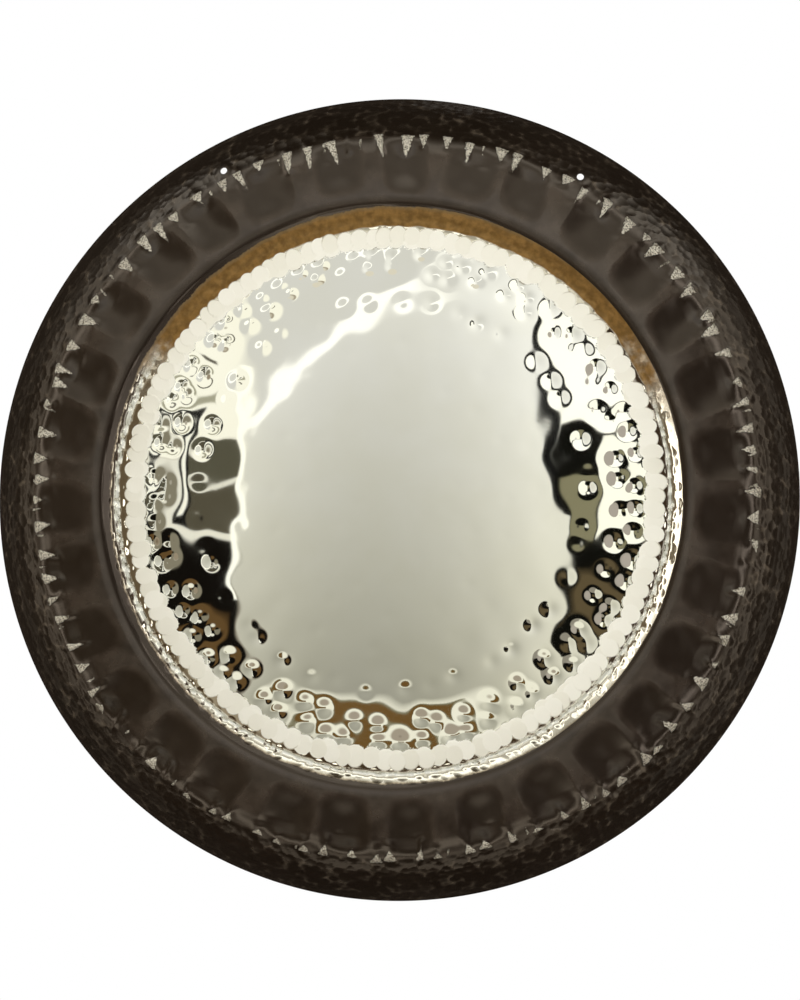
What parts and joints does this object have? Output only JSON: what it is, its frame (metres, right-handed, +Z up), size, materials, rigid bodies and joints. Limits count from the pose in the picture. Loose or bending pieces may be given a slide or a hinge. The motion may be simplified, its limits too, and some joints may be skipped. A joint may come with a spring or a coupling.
{
  "type": "tam tam gong",
  "caption": "Round hammered bronze gong with a mirror-polished crowned face, a dark dimpled shoulder and a deep turned-back rim; hangs from cords through its rim.",
  "frame": {"origin": "midway between the centres of the two hanging holes, at the middle of the sheet's thickness there", "axes": "the gong hangs upright: +Z up, the struck face looks along -Y, +X to the right of someone facing the struck face"},
  "size_m": [0.813, 0.087, 0.813],
  "materials": {
    "mirror_bronze": "pale champagne bronze, polished to a mirror, with rings of small round hammer dents",
    "frosted_bronze": "satin overlapping hammer marks",
    "burnished_bronze": "burnished, nearly mirror bright",
    "brown_patina": "dark grey-brown semi-gloss patina",
    "scraped_patina": "dark patina scraped back to bright metal on the creases",
    "black_patina": "black-brown patina, finely hammered"
  },
  "bodies": {
    "root": {"polished_face": "mirror_bronze", "frosted_ring": "frosted_bronze", "burnished_channel": "burnished_bronze", "shoulder_band": "brown_patina", "crease_ring": "scraped_patina", "rim_skirt": "black_patina"}
  },
  "joints": []
}
